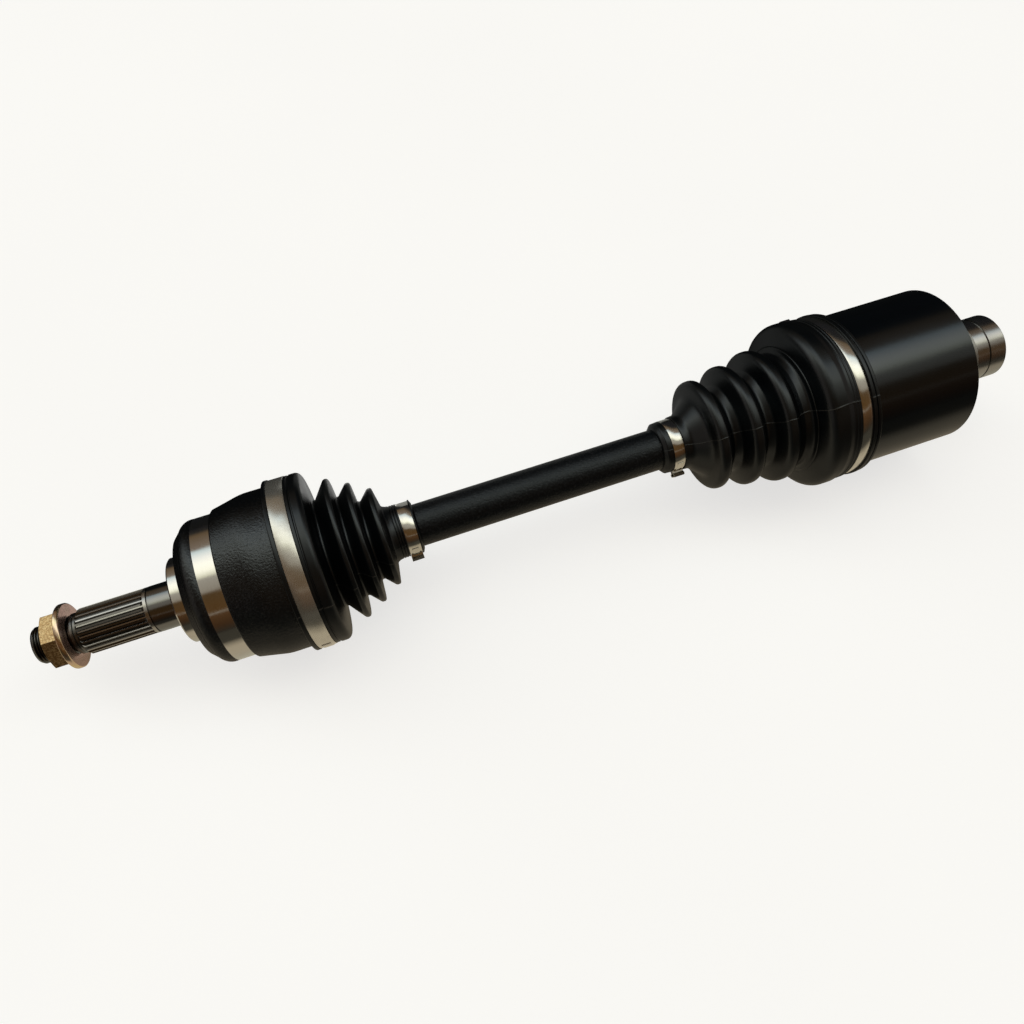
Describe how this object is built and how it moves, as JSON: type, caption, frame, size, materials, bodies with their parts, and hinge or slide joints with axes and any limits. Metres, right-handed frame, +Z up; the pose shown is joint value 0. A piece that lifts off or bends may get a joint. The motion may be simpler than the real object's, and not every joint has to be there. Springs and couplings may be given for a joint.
{
  "type": "drive axle",
  "caption": "Constant-velocity drive axle: splined stub with hub nut, booted ball joint, solid bar, booted sliding tripod joint with a splined collar.",
  "frame": {"origin": "on the axle's axis, in the plane of the shoulder the wheel hub seats against", "axes": "+X along the axle from the wheel end to the gearbox end, +Z up; the joints bend about +Z"},
  "size_m": [0.6274, 0.1107, 0.1086],
  "materials": {
    "forged_housing": "rough black paint, with ground steel journal, splines and a turned band",
    "can_paint": "satin black paint, brushed steel collar",
    "black_bar": "fine-grained semi-matte black paint",
    "boot_rubber": "satin-matte moulded rubber",
    "clamp_steel": "bright rolled stainless band",
    "bearing_steel": "ground hardened steel",
    "cage_steel": "dark phosphated steel, ground spheres",
    "ball_steel": "polished hardened steel",
    "spring_steel": "dark spring steel",
    "plated_cap": "zinc-plated pressing",
    "zinc_yellow": "yellow-passivated zinc plate",
    "zinc_gold": "grainy gold-tan zinc plate"
  },
  "bodies": {
    "wheel_side": {"outer_housing": "forged_housing", "outer_boot": "boot_rubber", "outer_boot_large_clamp": "clamp_steel"},
    "ball_carrier": {"ball_cage": "cage_steel", "outer_balls": "ball_steel"},
    "shaft": {"axle_bar": "black_bar", "inner_race": "bearing_steel", "shaft_clips": "spring_steel", "outer_boot_small_clamp": "clamp_steel", "inner_boot_small_clamp": "clamp_steel", "spider": "bearing_steel", "roller_washers": "spring_steel", "roller_clips": "spring_steel"},
    "inner_boot": {"inner_boot": "boot_rubber"},
    "gearbox_side": {"inner_housing": "can_paint", "grease_plug": "plated_cap", "inner_boot_large_clamp": "clamp_steel"},
    "washer": {"hub_washer": "zinc_yellow"},
    "nut": {"hub_nut": "zinc_gold"},
    "roller_1": {"roller_1": "ball_steel"},
    "needle_set_1": {"needles_1": "ball_steel"},
    "roller_2": {"roller_2": "ball_steel"},
    "needle_set_2": {"needles_2": "ball_steel"},
    "roller_3": {"roller_3": "ball_steel"},
    "needle_set_3": {"needles_3": "ball_steel"}
  },
  "joints": [
    {"name": "wheel_bend", "type": "hinge", "parent": "wheel_side", "child": "shaft", "pos_m": [0.05, 0, 0], "axis": [0, 0, 1], "range_deg": [-42, 42], "deforming": ["outer_boot"]},
    {"name": "ball_carrier_bend", "type": "hinge", "parent": "wheel_side", "child": "ball_carrier", "pos_m": [0.05, 0, 0], "axis": [0, 0, 1], "range_deg": [-21.5, 21.5]},
    {"name": "gearbox_bend", "type": "hinge", "parent": "shaft", "child": "inner_boot", "pos_m": [0.449, 0, 0], "axis": [0, 0, 1], "range_deg": [-20, 20], "deforming": ["inner_boot"]},
    {"name": "plunge", "type": "slide", "parent": "inner_boot", "child": "gearbox_side", "axis": [1, 0, 0], "range_m": [-0.013, 0.013]},
    {"name": "nut_travel", "type": "slide", "parent": "wheel_side", "child": "washer", "axis": [1, 0, 0], "range_m": [-0.007, 0.0015]},
    {"name": "nut_turn", "type": "hinge", "parent": "washer", "child": "nut", "pos_m": [0, 0, 0], "axis": [1, 0, 0], "range_deg": [-1690, 370]},
    {"name": "roller_1_spin", "type": "hinge", "parent": "shaft", "child": "roller_1", "pos_m": [0.449, 0.026, 0], "axis": [0, 1, 0], "continuous": true},
    {"name": "needles_1_orbit", "type": "hinge", "parent": "shaft", "child": "needle_set_1", "pos_m": [0.449, 0.026, 0], "axis": [0, 1, 0], "continuous": true},
    {"name": "roller_2_spin", "type": "hinge", "parent": "shaft", "child": "roller_2", "pos_m": [0.449, -0.013, 0.02252], "axis": [0, -0.5, 0.866], "continuous": true},
    {"name": "needles_2_orbit", "type": "hinge", "parent": "shaft", "child": "needle_set_2", "pos_m": [0.449, -0.013, 0.02252], "axis": [0, -0.5, 0.866], "continuous": true},
    {"name": "roller_3_spin", "type": "hinge", "parent": "shaft", "child": "roller_3", "pos_m": [0.449, -0.013, -0.02252], "axis": [0, -0.5, -0.866], "continuous": true},
    {"name": "needles_3_orbit", "type": "hinge", "parent": "shaft", "child": "needle_set_3", "pos_m": [0.449, -0.013, -0.02252], "axis": [0, -0.5, -0.866], "continuous": true}
  ],
  "couplings": [
    {"joint": "ball_carrier_bend", "follows": "wheel_bend", "ratio": 0.5},
    {"joint": "nut_turn", "follows": "nut_travel", "rad_per_m": 4188.8},
    {"joint": "needles_1_orbit", "follows": "roller_1_spin", "ratio": 0.561},
    {"joint": "needles_2_orbit", "follows": "roller_2_spin", "ratio": 0.561},
    {"joint": "needles_3_orbit", "follows": "roller_3_spin", "ratio": 0.561}
  ]
}
